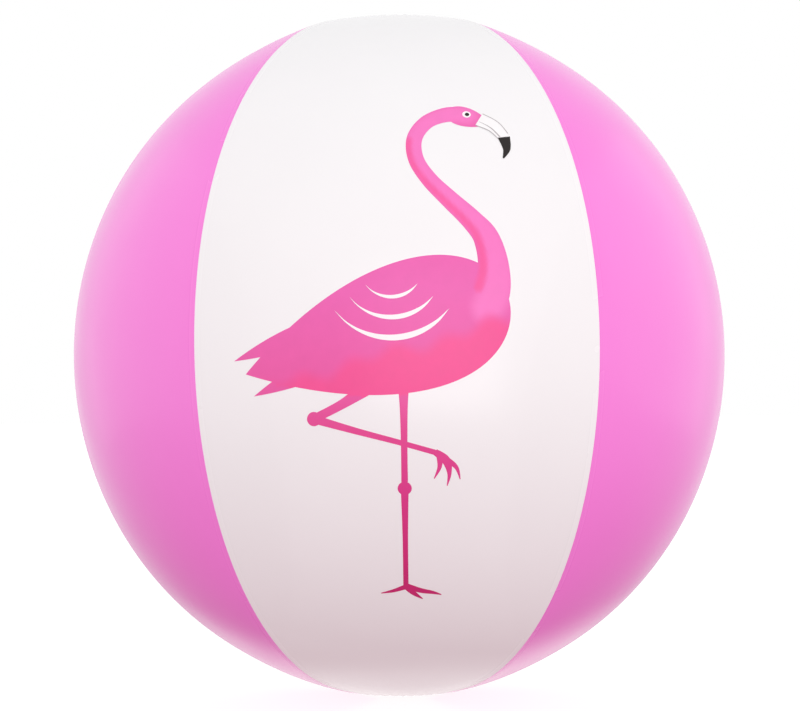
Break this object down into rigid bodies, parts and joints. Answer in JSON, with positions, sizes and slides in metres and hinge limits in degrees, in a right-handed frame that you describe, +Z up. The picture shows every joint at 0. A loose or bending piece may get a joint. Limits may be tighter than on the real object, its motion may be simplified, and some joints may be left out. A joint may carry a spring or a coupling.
{
  "type": "inflatable beach ball",
  "caption": "Large inflatable beach ball of welded pink and white film panels with end caps, a flamingo print and a push-in air valve with a plug on a strap.",
  "frame": {"origin": "lowest point of the lower end cap, where the ball stands", "axes": "+Z up through both end caps, -Y out of the middle of the printed front panel, +X to the right seen from the front; the upper cap carries the valve"},
  "size_m": [0.76, 0.76, 0.8011],
  "materials": {
    "white_film": "glossy soft PVC film",
    "pink_film": "glossy soft PVC film",
    "valve_plastic": "clear soft moulded PVC, slightly milky"
  },
  "bodies": {
    "envelope": {"panel_front_white": "white_film", "panel_front_right_pink": "pink_film", "panel_back_right_white": "white_film", "panel_back_pink": "pink_film", "panel_back_left_white": "white_film", "panel_front_left_pink": "pink_film", "cap_bottom": "white_film", "cap_top": "white_film", "valve_flange": "valve_plastic", "valve_collar": "valve_plastic"},
    "stem": {"valve_stem": "valve_plastic"},
    "stopper": {"plug": "valve_plastic", "plug_strap": "valve_plastic"},
    "flap": {"check_flap": "valve_plastic"}
  },
  "joints": [
    {"name": "stem_slide", "type": "slide", "parent": "envelope", "child": "stem", "axis": [0, 0, 1], "range_m": [0, 0.024], "deforming": ["valve_collar"]},
    {"name": "plug_hinge", "type": "hinge", "parent": "stem", "child": "stopper", "pos_m": [0.014, 0, 0.80024], "axis": [0, 1, 0], "range_deg": [0, 160]},
    {"name": "flap_hinge", "type": "hinge", "parent": "stem", "child": "flap", "pos_m": [0.0046, 0, 0.78469], "axis": [0, -1, 0], "range_deg": [0, 60], "stiffness_Nm_per_rad": 0.0002, "springref_deg": -17.19}
  ]
}
